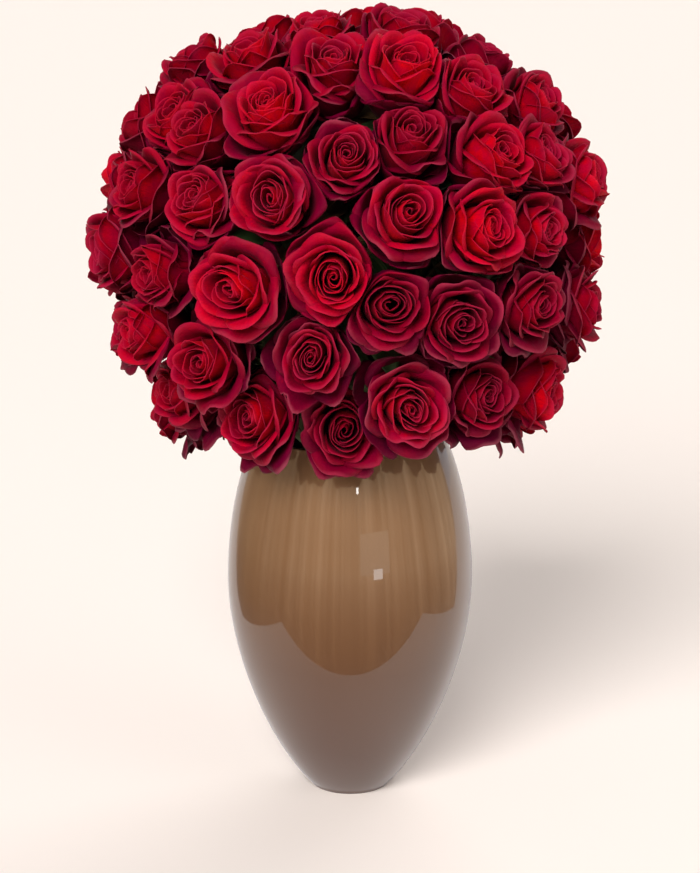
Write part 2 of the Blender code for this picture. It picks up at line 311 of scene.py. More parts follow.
def lay_out():
    """All the roses in the order of their places on the dome, each with the name of its node."""
    directions = spread_over_dome()
    slots = place_slots(directions)
    rng = np.random.default_rng(5)
    sizes = 1 + rng.uniform(-HEAD_SIZE_SPREAD, HEAD_SIZE_SPREAD, ROSE_COUNT)
    sinks = rng.uniform(-DEPTH_SPREAD, DEPTH_SPREAD, ROSE_COUNT)
    roses = [Rose(*traits) for traits in zip(directions, slots, sizes, sinks)]
    part_stems(roses)
    singles, pairs = pair_up(roses)
    for form, groups in (("rose_{:02d}", singles), ("rose_pair_{:02d}", pairs)):
        for number, members in enumerate(groups, 1):
            for rose in members:
                rose.node = form.format(number)
                rose.cut_height = max(member.stem_end for member in members)
    for rose in roses:
        low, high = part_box(rose.node)
        if any(not low[i] <= rose.middle[i] <= high[i] for i in range(3)):
            raise ValueError(f"{rose.node} isn't where the layout puts it")
    return roses


# ---- meshes

PETAL_THICKNESS = 0.00034


def put(name, data):
    """A new object in the scene."""
    thing = bpy.data.objects.new(name, data)
    bpy.context.scene.collection.objects.link(thing)
    return thing


def bezier(points, share):
    """Points of a cubic curve at these shares of its parameter."""
    share = np.asarray(share)[..., None]
    start, leave, arrive, end = (np.array(point, float) for point in points)
    back = 1 - share
    return start * back**3 + leave * 3 * share * back**2 + arrive * 3 * share**2 * back + end * share**3


def thick_sheet(grid, thickness):
    """A closed shell round a grid of points: its two faces and a rim that joins them."""
    columns, rows = grid.shape[:2]
    normals = np.cross(np.gradient(grid, axis=0), np.gradient(grid, axis=1))
    normals /= np.maximum(np.linalg.norm(normals, axis=-1, keepdims=True), 1e-12)
    index = np.arange(columns * rows).reshape(columns, rows)
    corners = [index[:-1, :-1], index[1:, :-1], index[1:, 1:], index[:-1, 1:]]
    front = np.stack([corner.ravel() for corner in corners], axis=1)
    back = front[:, ::-1] + index.size
    rim = np.concatenate([index[:, 0], index[-1, 1:], index[-2::-1, -1], index[0, -2:0:-1]])
    after = np.roll(rim, -1)
    edge = np.stack([after, rim, rim + index.size, after + index.size], axis=1)
    sides = [grid + normals * thickness / 2, grid - normals * thickness / 2]
    points = np.concatenate([side.reshape(-1, 3) for side in sides])
    return points, np.concatenate([front, back, edge])


class Parts:
    """Points, faces and traits of several shells, gathered for one mesh."""

    def __init__(self):
        self.points, self.faces, self.traits, self.count = [], [], [], 0

    def add(self, points, faces, *traits):
        """One more shell. Each of its eight traits is a number, or an array repeated to fit."""
        self.points.append(points)
        self.faces.append(faces + self.count)
        self.traits.append(np.stack([np.resize(trait, len(points)) for trait in traits], axis=1))
        self.count += len(points)

    def piece(self, name, material, place=None):
        """One mesh object of all that was added. place moves its points first."""
        points = np.concatenate(self.points)
        if place:
            points = place(points)
        faces = np.concatenate(self.faces)
        traits = np.concatenate(self.traits)
        mesh = bpy.data.meshes.new(name)
        mesh.vertices.add(len(points))
        mesh.vertices.foreach_set("co", points.astype(np.float32).ravel())
        mesh.loops.add(faces.size)
        mesh.loops.foreach_set("vertex_index", faces.astype(np.int32).ravel())
        mesh.polygons.add(len(faces))
        mesh.polygons.foreach_set("loop_start", np.arange(0, faces.size, 4, dtype=np.int32))
        mesh.update()
        for number, label in enumerate(("spot", "kind")):
            layer = mesh.attributes.new(label, "FLOAT_COLOR", "POINT")
            values = traits[:, 4 * number : 4 * number + 4]
            layer.data.foreach_set("color", values.astype(np.float32).ravel())
        mesh.shade_smooth()
        mesh.materials.append(material)
        return put(name, mesh)


# ---- petals

# Rings of petals from the heart of a rose outwards. Pairs run from a ring's first petal to its last:
# radius and height of the rim (mm), its lean out from the rose's axis (degrees), half of the petal's
# width (degrees round the rose). Then the radius of its rolled-back edge (mm), how far it rolls
# (radians), how far out the rolls of its flanks lie (mm, None for a plain round rim), the waves of its
# rim (mm) and its columns of points
Ring = namedtuple("Ring", "count rim crest lean half roll curl flank wave columns")
RINGS = (
    Ring(4, (1.6, 4.6), (43.0, 44.8), (-16, -12), (112, 96), 0.7, 1.0, None, 0.6, 17),
    Ring(5, (5.4, 8.6), (45.4, 46.8), (-12, -7), (84, 72), 0.9, 1.3, None, 0.7, 17),
    Ring(5, (9.6, 13.0), (47.2, 48.2), (-6, 3), (70, 64), 1.0, 1.6, None, 0.8, 15),
    Ring(6, (14.2, 18.8), (48.6, 49.2), (5, 16), (57, 52), 1.4, 1.7, 11.5, 0.9, 15),
    Ring(5, (20.2, 25.0), (48.6, 46.4), (24, 38), (60, 56), 2.1, 2.0, 9.5, 1.1, 15),
    Ring(5, (26.4, 31.0), (44.0, 39.5), (48, 68), (52, 46), 2.9, 2.5, 9.0, 2.4, 17),
    Ring(6, (31.5, 37.0), (37.5, 27.0), (70, 100), (42, 30), 3.2, 2.8, 8.5, 3.4, 17),
)
ROWS = np.array([0, 0.22, 0.42, 0.58, 0.70, 0.79, 0.86, 0.915, 0.955, 0.982, 1.0])
MM = 0.001
# How far the petals lean out, from the most closed rose to the most opened, and how much narrower a
# closed one is, in the rings that start within this radius (mm)
LEAST_OPENED, MOST_OPENED = 0.62, 1.2
CLOSED_SHRINK = 0.34
CLOSING_REACH = 30
# How petals differ: factors for their radius, width, rim waves and rolls, then the height of the rim
# (mm), its lean (degrees), and the petal's place round the rose (radians)
RADIUS_RANGE = (0.93, 1.07)
WIDTH_RANGE = (0.92, 1.08)
WAVE_RANGE = (0.5, 1.2)
ROLL_RANGE, FLANK_ROLL_RANGE = (0.8, 1.2), (0.9, 1.5)
CREST_SPREAD = 1.3
LEAN_SPREAD = 9
AZIMUTH_SPREAD = 0.33
# How much petals differ in age, and how much older each ring is from this one outwards
AGE_SPREAD = 0.25
AGEING, FIRST_OLDER_RING = 0.12, 3
# A petal's shape: how straight it runs down from its rim, how wide its foot is, how much lower its
# corners are, height and width of its point, the angle of its flanks' rolls (degrees)
STRAIGHTNESS = 0.34
FOOT_WIDTH = 0.42
CORNER_DROP = (0.10, 0.16)
POINT_RISE, POINT_WIDTH = 0.018, 0.25
FLANK_ANGLE = (36, 54)
LEAST_HALF_WIDTH = 0.004


def between(pair, share):
    return pair[0] + (pair[1] - pair[0]) * share


def petal_sheet(rng, ring, share, azimuth, opened):
    """Points for one petal in the rose's own frame, with how far across and up each one is."""
    loose = ring.wave
    closing = 1 - CLOSED_SHRINK * (MOST_OPENED - opened) * (ring.rim[0] < CLOSING_REACH)
    radius = between(ring.rim, share) * rng.uniform(*RADIUS_RANGE) * closing * MM
    crest = (between(ring.crest, share) + rng.uniform(-CREST_SPREAD, CREST_SPREAD) * (0.5 + loose)) * MM
    lean = between(ring.lean, share) + rng.uniform(-LEAN_SPREAD, LEAN_SPREAD) * loose
    lean = math.radians(lean) * opened
    handle = STRAIGHTNESS * crest
    profile = (
        (min(0.0045, 0.6 * radius + 0.001), 0.003),
        (min(0.9 * radius + 0.004, 0.021), 0.2 * crest),
        (radius - handle * math.sin(lean), crest - handle * math.cos(lean)),
        (radius, crest),
    )
    length = np.linalg.norm(np.diff(bezier(profile, np.linspace(0, 1, 30)), axis=0), axis=1).sum()
    half_turn = math.radians(between(ring.half, share)) * rng.uniform(*WIDTH_RANGE)
    half_width = max(half_turn * (radius + 0.0015), LEAST_HALF_WIDTH)

    across = np.linspace(-1, 1, ring.columns)
    across = np.sign(across) * np.abs(across) ** 0.85
    across, up = np.meshgrid(across, ROWS, indexing="ij")
    rounding = rng.uniform(*CORNER_DROP)
    skew = rng.uniform(-0.03, 0.03)
    x = across * half_width * (FOOT_WIDTH + (1 - FOOT_WIDTH) * np.sin(up**0.8 * 1.75))
    y = length * up * (1 - rounding * np.abs(across) ** 2.6 + skew * across)
    if ring.flank:
        y = y + length * POINT_RISE * np.exp(-((across / POINT_WIDTH) ** 2)) * up**8

    wave_count = rng.uniform(0.7, 1.7) * math.pi * (1 + 0.25 * loose)
    wave_start = rng.uniform(0, 2 * math.pi)
    wave_height = ring.wave * rng.uniform(*WAVE_RANGE) * MM
    least_radius = 0.45 * radius
    off_axis = rng.normal(0, min(ring.wave, 1.4), 2) * MM

    def surface(x, y):
        t = y / length
        line = bezier(profile, np.clip(t, 0, 1.3))
        wave = wave_height * np.sin(wave_count * x / half_width + wave_start) * np.clip(t, 0, 1.2) ** 4
        turn = azimuth + x / np.maximum(line[..., 0], max(least_radius, 0.002))
        out = line[..., 0] + 0.0011 * x / half_width * np.clip(t * 1.3, 0, 1) + wave
        beside_x = out * np.cos(turn) + off_axis[0] * np.clip(t, 0, 1)
        beside_y = out * np.sin(turn) + off_axis[1] * np.clip(t, 0, 1)
        return np.stack([beside_x, beside_y, line[..., 1] + 0.5 * wave], axis=-1)

    return rolled(surface, x, y, roll_lines(rng, ring, length), ring.curl), across, up


def roll_lines(rng, ring, length):
    """Lines past which a petal rolls back: one along its top and, on an open petal, one on each flank.
    Each has a distance from the petal's foot, a direction and the radius of the roll."""
    lines = [(length - 0.7 * MM, 0.0, ring.roll * rng.uniform(*ROLL_RANGE) * MM)]
    if ring.flank:
        for side in (-1, 1):
            angle = side * math.radians(rng.uniform(*FLANK_ANGLE))
            offset = (ring.flank + rng.uniform(-1.5, 3.0)) * MM
            radius = ring.roll * rng.uniform(*FLANK_ROLL_RANGE) * MM
            lines.append((length + offset - 0.010, angle, radius))
    return lines


def rolled(surface, x, y, lines, curl):
    """The surface rolled back past the lines, smoothly where two rolls meet."""
    past = np.zeros_like(x)
    side_x, side_y, roll = np.zeros_like(x), np.zeros_like(x), np.zeros_like(x)
    for distance, angle, radius in lines:
        over = np.clip(x * math.sin(angle) + (y - distance) * math.cos(angle), 0, None)
        weight = over**3
        past = past + over**4
        side_x = side_x + weight * math.sin(angle)
        side_y = side_y + weight * math.cos(angle)
        roll = roll + weight * radius
    past = past**0.25
    total = np.maximum(past**3, 1e-15)
    roll = np.where(past > 0, roll / total, 1.0)
    level = np.maximum(np.hypot(side_x, side_y), 1e-15)
    side_x, side_y = side_x / level, np.where(past > 0, side_y / level, 1.0)
    at_x, at_y = x - past * side_x, y - past * side_y
    step = 0.0002
    foot = surface(at_x, at_y)
    onward = surface(at_x + side_x * step, at_y + side_y * step) - foot
    onward /= np.linalg.norm(onward, axis=-1, keepdims=True)
    along_x = surface(at_x + step, at_y) - surface(at_x - step, at_y)
    along_y = surface(at_x, at_y + step) - surface(at_x, at_y - step)
    outward = np.cross(along_x, along_y)
    outward /= np.linalg.norm(outward, axis=-1, keepdims=True)
    angle = curl * np.tanh(past / roll / curl)
    forward, back = roll * np.sin(angle), roll * (1 - np.cos(angle))
    return foot + onward * forward[..., None] + outward * back[..., None]


def bloom(rng, opened, age, shade):
    """All the petals of one rose in its own frame, with their traits."""
    parts = Parts()
    azimuth = rng.uniform(0, 2 * math.pi)
    for number, ring in enumerate(RINGS):
        for petal in range(ring.count):
            azimuth += 2 * math.pi / ring.count + rng.uniform(-AZIMUTH_SPREAD, AZIMUTH_SPREAD)
            share = (petal + 0.5) / ring.count
            grid, across, up = petal_sheet(rng, ring, share, azimuth, opened)
            points, faces = thick_sheet(grid, PETAL_THICKNESS)
            side = np.repeat([0, 1], across.size)
            chance = rng.uniform()
            older = AGEING * max(0, number - FIRST_OLDER_RING)
            own_age = np.clip(age + rng.uniform(-AGE_SPREAD, AGE_SPREAD) + older, 0, 1)
            outwards = (number + share) / len(RINGS)
            parts.add(points, faces, up, across / 2 + 0.5, side, chance, shade, own_age, outwards, 1)
        azimuth += rng.uniform(0, 1)
    return parts


# Places in FRONT_ROSES of the brightest and the darkest roses, and the shades of the others
BRIGHT_ROSES = (1, 2, 3, 11, 15, 24, 25, 27, 28, 32, 39, 41)
DARK_ROSES = (8, 12, 19, 34, 35, 36, 37, 40)
OTHER_SHADES = (0.1, 0.8)
OLDEST = 0.6

# The heart of a rose is narrower one way than the other, by up to this share, out to this radius
HEART_SQUEEZE = 0.38
HEART_REACH = 0.017

# Petals of neighbouring roses press on each other: how far the plane between two roses moves, and how
# softly petals meet it. Then how far a rose nods, is oval, and how far its top drifts to a side
PRESSING = 0.0015
PRESS_DEPTH = 0.006
NOD = math.radians(7)
OVALNESS = 0.06
DRIFT = 0.0012


def pressed(points, own, roses, bulges):
    """Draws petals in to their own side of the planes between their rose and its neighbours."""
    middle = np.array(own.middle)
    outward = points - middle
    length = np.linalg.norm(outward, axis=1)
    for other in roses:
        across = np.array(other.middle) - middle
        distance = np.linalg.norm(across)
        if other is own or distance > own.radius + other.radius + 0.01:
            continue
        pair = (min(own.number, other.number), max(own.number, other.number))
        bulge = bulges[pair] if own.number == pair[0] else -bulges[pair]
        reach = distance * own.radius / (own.radius + other.radius) + bulge
        slant = np.maximum((outward @ (across / distance)) / np.maximum(length, 1e-9), 1e-3)
        past = length - (reach / slant - PRESS_DEPTH)
        drawn = reach / slant - PRESS_DEPTH * np.exp(-np.maximum(past, 0) / PRESS_DEPTH)
        length = np.where(past > 0, drawn, length)
    return middle + outward * (length / np.maximum(np.linalg.norm(outward, axis=1), 1e-9))[:, None]


def squeezed(points, squeeze, heading):
    """Narrows the heart of a rose along one heading."""
    along = np.array([math.cos(heading), math.sin(heading)])
    fade = np.exp(-((np.hypot(points[:, 0], points[:, 1]) / HEART_REACH) ** 2))
    points = points.copy()
    points[:, :2] -= (squeeze * fade * (points[:, :2] @ along))[:, None] * along
    return points


def turned_to(rose, rng):
    """Matrix from a rose's own frame, +Z out of its face and nodding a little, to the shared frame."""
    nod = Vector(rng.uniform(-math.tan(NOD), math.tan(NOD), 3))
    return np.array((rose.facing + nod).to_track_quat("Z", "Y").to_matrix())


# ---- stems, sepals and leaves

SEPALS = 5
SEPAL_LENGTH = 0.021
SEPAL_WIDTH = 0.0065
SEPAL_THICKNESS = 0.0006
LEAF_THICKNESS = 0.0005
LEAF_LENGTH = (0.036, 0.052)
LEAF_WIDTH = 0.62
# How far sepals and leaves stand up from level (degrees), and where they start, out and up
SEPAL_LIFT, SEPAL_START = (-35, 40), (0.005, 0.001)
LEAF_LIFT, LEAF_START = (5, 45), (0.002, -0.014)
LEAVES = 6
LEAF_TRIES = 20
# Leaf tips stay inside the dome, within this share of its size, and above this height
LEAF_ZONE = 0.93
LEAF_LOWEST = 0.290
# A blade's edges ripple this far, as a share of its length, this fast along it
BLADE_RIPPLE, BLADE_RIPPLES = 0.04, 7
# The green cup under a flower: heights from its base along its axis and radii there (mm)
CUP_HEIGHTS = (-4.5, -2.0, 1.0, 4.0, 7.0, 9.0, 10.0)
CUP_RADII = (2.6, 3.2, 5.2, 6.6, 6.4, 5.0, 2.0)


def smooth_line(points, steps):
    """A curve through the points, as more points."""
    points = [points[0] * 2 - points[1], *points, points[-1] * 2 - points[-2]]
    line = []
    for before, start, end, after in zip(points, points[1:], points[2:], points[3:]):
        for step in range(steps):
            t = step / steps
            line.append(
                0.5
                * (
                    start * 2
                    + (end - before) * t
                    + (before * 2 - start * 5 + end * 4 - after) * t**2
                    + (start * 3 - before - end * 3 + after) * t**3
                )
            )
    return np.array([*line, points[-2]])


def tube(line, radii, sides):
    """A closed tube of quads round a line, its ends closed by flat caps of quads."""
    along = np.gradient(line, axis=0)
    along /= np.linalg.norm(along, axis=1, keepdims=True)
    first = np.cross(along, (0.31, 0.87, 0.11))
    first /= np.linalg.norm(first, axis=1, keepdims=True)
    second = np.cross(along, first)
    turn = np.linspace(0, 2 * math.pi, sides, endpoint=False)
    ring = np.cos(turn)[None, :, None] * first[:, None] + np.sin(turn)[None, :, None] * second[:, None]
    points = line[:, None] + ring * radii[:, None, None]
    index = np.arange(points.shape[0] * sides).reshape(-1, sides)
    beside = np.roll(index, -1, axis=1)
    walls = np.stack([index[:-1], beside[:-1], beside[1:], index[1:]], axis=-1).reshape(-1, 4)
    caps = []
    for row, flip in ((index[0], True), (index[-1], False)):
        for k in range(1, sides - 2, 2):
            cap = [row[0], row[k], row[k + 1], row[k + 2]]
            caps.append(cap[::-1] if flip else cap)
    return points.reshape(-1, 3), np.concatenate([walls, np.array(caps)])


def blade(rng, length, width, folded, arch):
    """A grid for a leaf or sepal that starts at the origin and runs along +X, face up."""
    along, across = np.meshgrid(np.linspace(0, 1, 9), np.linspace(-1, 1, 7), indexing="ij")
    outline = np.sin(np.pi * along**0.75) ** 0.8 * (1 - 0.25 * along) + 0.03
    x = along * length
    y = across * width / 2 * outline
    ripple = BLADE_RIPPLE * length * np.sin(BLADE_RIPPLES * along + rng.uniform(0, 6)) * across
    z = arch * length * along**2 + folded * np.abs(y) + ripple
    return np.stack([x, y, z], axis=-1)


def add_green(parts, kind, points, faces, chance):
    """A green shell: of the kind 0 for a stem or calyx, 0.5 for a sepal and 1 for a leaf."""
    parts.add(points, faces, 0, 0, 0, chance, kind, 1, 1, 1)


def add_stem(parts, rose, rng):
    """The stem from the calyx to its cut end, with the green cup that the petals grow from."""
    line = [*rose.stem[:-1], Vector((*rose.stem[-1].xy, rose.cut_height))]
    line = smooth_line(line, 4)
    radii = np.full(len(line), STEM_DIAMETER / 2)
    add_green(parts, 0, *tube(line, radii, 8), rng.uniform())
    cup_heights = np.array(CUP_HEIGHTS) * MM
    cup_radii = np.array(CUP_RADII) * MM * rose.size
    cup_line = np.array(rose.base) + cup_heights[:, None] * np.array(rose.facing)
    add_green(parts, 0, *tube(cup_line, cup_radii, 10), rng.uniform())


def stood_out(rose, grid, lift, azimuth, start):
    """A blade's points turned up by lift and round to azimuth, from their start on a rose's stem."""
    reach, height = grid[..., 0], grid[..., 2]
    out = reach * math.cos(lift) - height * math.sin(lift) + start[0]
    up = reach * math.sin(lift) + height * math.cos(lift) + start[1]
    beside_x = out * math.cos(azimuth) - grid[..., 1] * math.sin(azimuth)
    beside_y = out * math.sin(azimuth) + grid[..., 1] * math.cos(azimuth)
    return np.stack([beside_x, beside_y, up], axis=-1) @ rose.turn.T + np.array(rose.base)


def add_sepals(parts, rose, rng):
    """Five narrow green blades under the petals, bent back to different degrees."""
    start = rng.uniform(0, 2 * math.pi)
    for number in range(SEPALS):
        grid = blade(rng, SEPAL_LENGTH * rng.uniform(0.85, 1.2), SEPAL_WIDTH, 0.35, 0)
        lift = math.radians(rng.uniform(*SEPAL_LIFT))
        azimuth = start + number * 2 * math.pi / SEPALS + rng.uniform(-0.2, 0.2)
        grid[..., 2] += grid[..., 0] ** 2 * rng.uniform(-22, 8)
        world = stood_out(rose, grid, lift, azimuth, SEPAL_START)
        add_green(parts, 0.5, *thick_sheet(world, SEPAL_THICKNESS), rng.uniform())


def inside_dome(point):
    """Whether a leaf's tip is behind the faces of the flowers and not under the bouquet."""
    x, y, z = point
    middle = VASE_HEIGHT + BOUQUET_LIFT
    scaled = Vector((x / BOUQUET_RADIUS, y / BOUQUET_RADIUS, (z - middle) / BOUQUET_RISE))
    return scaled.length < LEAF_ZONE and z > LEAF_LOWEST


def add_leaves(parts, rose, rng):
    """Leaves on the stem below the flower, where they stay inside the bouquet."""
    for _ in range(LEAVES):
        length = rng.uniform(*LEAF_LENGTH)
        grid = blade(rng, length, length * LEAF_WIDTH, 0.25, rng.uniform(-0.30, 0.1))
        for _ in range(LEAF_TRIES):
            lift = math.radians(rng.uniform(*LEAF_LIFT))
            azimuth = rng.uniform(0, 2 * math.pi)
            world = stood_out(rose, grid, lift, azimuth, LEAF_START)
            if inside_dome(world[-1, world.shape[1] // 2]):
                add_green(parts, 1, *thick_sheet(world, LEAF_THICKNESS), rng.uniform())
                break


# ---- vase

VASE_SIDES = 128


def make_vase(material):
    """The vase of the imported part, turned in finer steps and with its rim and foot rounded."""
    inner = np.linspace(FLOOR_THICKNESS, VASE_HEIGHT - RIM_ROUNDING, 40)
    outer = np.linspace(VASE_HEIGHT - RIM_ROUNDING, FOOT_CHAMFER, 90)
    rim_inner = vase_inner(VASE_HEIGHT - RIM_ROUNDING)
    rim_outer = vase_outer(VASE_HEIGHT - RIM_ROUNDING)
    rim_middle, rim_half = (rim_inner + rim_outer) / 2, (rim_outer - rim_inner) / 2
    profile = [(0, FLOOR_THICKNESS)]
    profile += [(vase_inner(z), z) for z in inner]
    for angle in np.linspace(math.pi, 0, 11)[1:-1]:
        radius = rim_middle + rim_half * math.cos(angle)
        profile.append((radius, inner[-1] + RIM_ROUNDING * math.sin(angle)))
    profile += [(vase_outer(z), z) for z in outer]
    for angle in np.linspace(0, math.pi / 2, 5)[1:]:
        drop = FOOT_CHAMFER * (1 - math.sin(angle))
        profile.append((vase_outer(FOOT_CHAMFER) - FOOT_CHAMFER * (1 - math.cos(angle)), drop))
    profile.append((0, 0))
    mesh = bpy.data.meshes.new("vase_body")
    mesh.from_pydata([(r, 0, z) for r, z in profile], [(i, i + 1) for i in range(len(profile) - 1)], [])
    vase = put("vase_body", mesh)
    turned = vase.modifiers.new("turned", "SCREW")
    turned.steps = turned.render_steps = VASE_SIDES
    turned.use_merge_vertices = True
    turned.merge_threshold = 0.00001
    turned.use_smooth_shade = True
    mesh.materials.append(material)
    return vase


# ---- materials


class Nodes:
    """The nodes of a material or world, made and linked in short calls."""

    def __init__(self, owner):
        owner.use_nodes = True
        self.owner = owner
        self.tree = owner.node_tree
        self.shader = self.tree.nodes.get("Principled BSDF")

    def new(self, kind, **values):
        node = self.tree.nodes.new("ShaderNode" + kind)
        for name, value in values.items():
            setattr(node, name, value)
        return node

    def link(self, output, socket):
        self.tree.links.new(output, socket)

    def trait(self, label):
        """The four channels of a mesh attribute."""
        source = self.new("Attribute", attribute_name=label)
        split = self.new("SeparateColor")
        self.link(source.outputs["Color"], split.inputs[0])
        return [*split.outputs, source.outputs["Alpha"]]

    def math(self, operation, one, two, clamp=False):
        node = self.new("Math", operation=operation, use_clamp=clamp)
        for socket, value in zip(node.inputs, (one, two)):
            self.fill(socket, value)
        return node.outputs[0]

    def times(self, one, two, clamp=False):
        return self.math("MULTIPLY", one, two, clamp)

    def fill(self, socket, value):
        if isinstance(value, bpy.types.NodeSocket):
            self.link(value, socket)
        elif isinstance(value, tuple):
            socket.default_value = (*value, 1)
        else:
            socket.default_value = value

    def mix(self, factor, one, two, blend="MIX"):
        node = self.new("Mix", data_type="RGBA", blend_type=blend)
        self.fill(node.inputs["Factor"], factor)
        self.fill(node.inputs[6], one)
        self.fill(node.inputs[7], two)
        return node.outputs[2]

    def ramp(self, factor, *stops):
        node = self.new("ValToRGB")
        self.link(factor, node.inputs[0])
        elements = node.color_ramp.elements
        elements[0].position, elements[1].position = stops[0][0], stops[-1][0]
        for position, _ in stops[1:-1]:
            elements.new(position)
        for element, (_, colour) in zip(elements, stops):
            element.color = (*colour, 1)
        return node.outputs[0]

    def rise(self, factor, start, end):
        """Black up to start, white from end."""
        return self.ramp(factor, (start, (0, 0, 0)), (end, (1, 1, 1)))

    def noise(self, vector, scale, detail=3, roughness=0.5):
        node = self.new("TexNoise")
        self.link(vector, node.inputs["Vector"])
        node.inputs["Scale"].default_value = scale
        node.inputs["Detail"].default_value = detail
        node.inputs["Roughness"].default_value = roughness
        return node.outputs["Fac"]

    def split(self, vector):
        node = self.new("SeparateXYZ")
        self.link(vector, node.inputs[0])
        return node.outputs

    def combine(self, x, y, z):
        node = self.new("CombineXYZ")
        for socket, value in zip(node.inputs, (x, y, z)):
            self.fill(socket, value)
        return node.outputs[0]

    def bump(self, height, strength, distance):
        node = self.new("Bump")
        node.inputs["Strength"].default_value = strength
        node.inputs["Distance"].default_value = distance
        self.link(height, node.inputs["Height"])
        self.link(node.outputs[0], self.shader.inputs["Normal"])

    def finish(self, colour, roughness, **values):
        self.fill(self.shader.inputs["Base Color"], colour)
        self.fill(self.shader.inputs["Roughness"], roughness)
        for name, value in values.items():
            self.shader.inputs[name.replace("_", " ")].default_value = value
        return self.owner


def petal_material():
    """Velvety red: scarlet inside, crimson outside. Painted shade darkens each petal towards its foot
    and painted light brightens the tops. The outermost ring is darker, partly withered and partly
    painted shade; rims are partly worn with age and partly painted sheen."""
    n = Nodes(bpy.data.materials.new("rose_petals"))
    up, across, side, chance = n.trait("spot")
    shade, age, ring, _ = n.trait("kind")
    # Painted shade: both sides darken towards the petal's foot, deep among the petals. Painted light:
    # the inside's brightest scarlet at the top stands in for light shining through the thin tips.
    inner = n.ramp(
        up,
        (0.0, (0.02, 0, 0.001)),
        (0.45, (0.13, 0, 0.002)),
        (0.72, (0.70, 0, 0.002)),
        (1.0, (0.90, 0, 0.003)),
    )
    outer = n.ramp(
        up,
        (0.0, (0.10, 0, 0.008)),
        (0.45, (0.30, 0, 0.014)),
        (0.80, (0.50, 0, 0.022)),
        (1.0, (0.62, 0, 0.012)),
    )
    colour = n.mix(side, inner, outer)
    ribs = n.combine(n.times(across, 34.0), n.times(up, 3.0), n.times(chance, 9.0))
    veins = n.noise(ribs, 1.0)
    colour = n.mix(n.times(veins, 0.6), colour, (0.16, 0, 0.010))
    place = n.new("TexCoord").outputs["Object"]
    patches = n.rise(n.noise(place, 95.0, detail=4), 0.42, 0.66)
    colour = n.mix(n.times(patches, 0.55), colour, (0.34, 0, 0.034))
    dulled = n.times(age, n.noise(place, 70.0))
    colour = n.mix(n.times(dulled, 1.2, clamp=True), colour, (0.07, 0, 0.014))
    colour = n.mix(n.times(shade, 0.60), colour, (0.09, 0, 0.012))
    # The outermost ring darkens towards near black: partly its own withered purple, partly painted shade
    # between the heads.
    outermost = n.rise(ring, 0.68, 0.96)
    colour = n.mix(n.times(outermost, 0.76), colour, (0.060, 0, 0.016))
    # Rims turn pinkish grey: the part that grows with age is wear, the rest is painted sheen.
    rim = n.rise(up, 0.93, 0.99)
    rim_wear_and_sheen = n.times(rim, n.math("ADD", n.times(age, 0.55), 0.20))
    colour = n.mix(rim_wear_and_sheen, colour, n.mix(outermost, (0.34, 0.012, 0.050), (0.24, 0.050, 0.075)))
    fine = n.noise(place, 260.0, detail=2)
    n.bump(n.math("ADD", veins, fine), 0.4, 0.0008)
    return n.finish(
        colour,
        0.55,
        Specular_IOR_Level=0.10,
        Sheen_Weight=0.03,
        Sheen_Roughness=0.35,
        Sheen_Tint=(1.0, 0.35, 0.5, 1),
    )


def green_material():
    """Stems, calyxes, sepals and leaves: green in patches, the leaves darker, some of each brown."""
    n = Nodes(bpy.data.materials.new("rose_greens"))
    *_, chance = n.trait("spot")
    kind, *_ = n.trait("kind")
    place = n.new("TexCoord").outputs["Object"]
    patches = n.noise(place, 90.0)
    colour = n.ramp(patches, (0.3, (0.020, 0.040, 0.010)), (0.7, (0.05, 0.09, 0.02)))
    leaf = n.ramp(patches, (0.3, (0.010, 0.022, 0.008)), (0.7, (0.025, 0.045, 0.014)))
    colour = n.mix(kind, colour, leaf)
    brown = n.rise(chance, 0.6, 0.85)
    colour = n.mix(n.times(brown, 0.7), colour, (0.085, 0.030, 0.016))
    n.bump(n.noise(place, 420.0, detail=2), 0.3, 0.0005)
    return n.finish(colour, 0.5, Specular_IOR_Level=0.4)


def glaze_material():
    """Taupe-brown glaze, greyer towards the foot, under a clear glassy coat."""
    n = Nodes(bpy.data.materials.new("vase_glaze"))
    place = n.new("TexCoord").outputs["Object"]
    x, y, z = n.split(place)
    height = n.math("DIVIDE", z, VASE_HEIGHT)
    cloud = n.noise(place, 9.0, detail=4)
    uneven = n.math("ADD", height, n.times(n.math("SUBTRACT", cloud, 0.5), 0.12))
    colour = n.ramp(
        uneven,
        (0.0, (0.098, 0.062, 0.054)),
        (0.16, (0.082, 0.040, 0.028)),
        (0.40, (0.090, 0.038, 0.017)),
        (0.72, (0.150, 0.073, 0.031)),
        (1.0, (0.185, 0.098, 0.046)),
    )
    drips = n.combine(n.times(x, 60.0), n.times(y, 60.0), n.times(z, 4.0))
    colour = n.mix(n.times(n.noise(drips, 1.0), 0.25), colour, (0.070, 0.036, 0.022))
    n.bump(n.noise(place, 26.0, detail=2), 0.02, 0.002)
    return n.finish(
        colour,
        0.35,
        Coat_Weight=1.0,
        Coat_Roughness=0.02,
        Coat_IOR=1.75,
        Specular_IOR_Level=0.4,
        Sheen_Weight=0.25,
        Sheen_Roughness=0.3,
        Sheen_Tint=(0.80, 0.86, 1.0, 1),
    )


# ---- stage, light and camera

FLOOR_SIZE = 120.0
PALE = (0.95, 0.89, 0.86)
FLOOR_COLOUR = (0.93, 0.865, 0.825)
FLOOR_ROUGHNESS = 0.9
WORLD_LIT, WORLD_SEEN = 0.28, 0.92
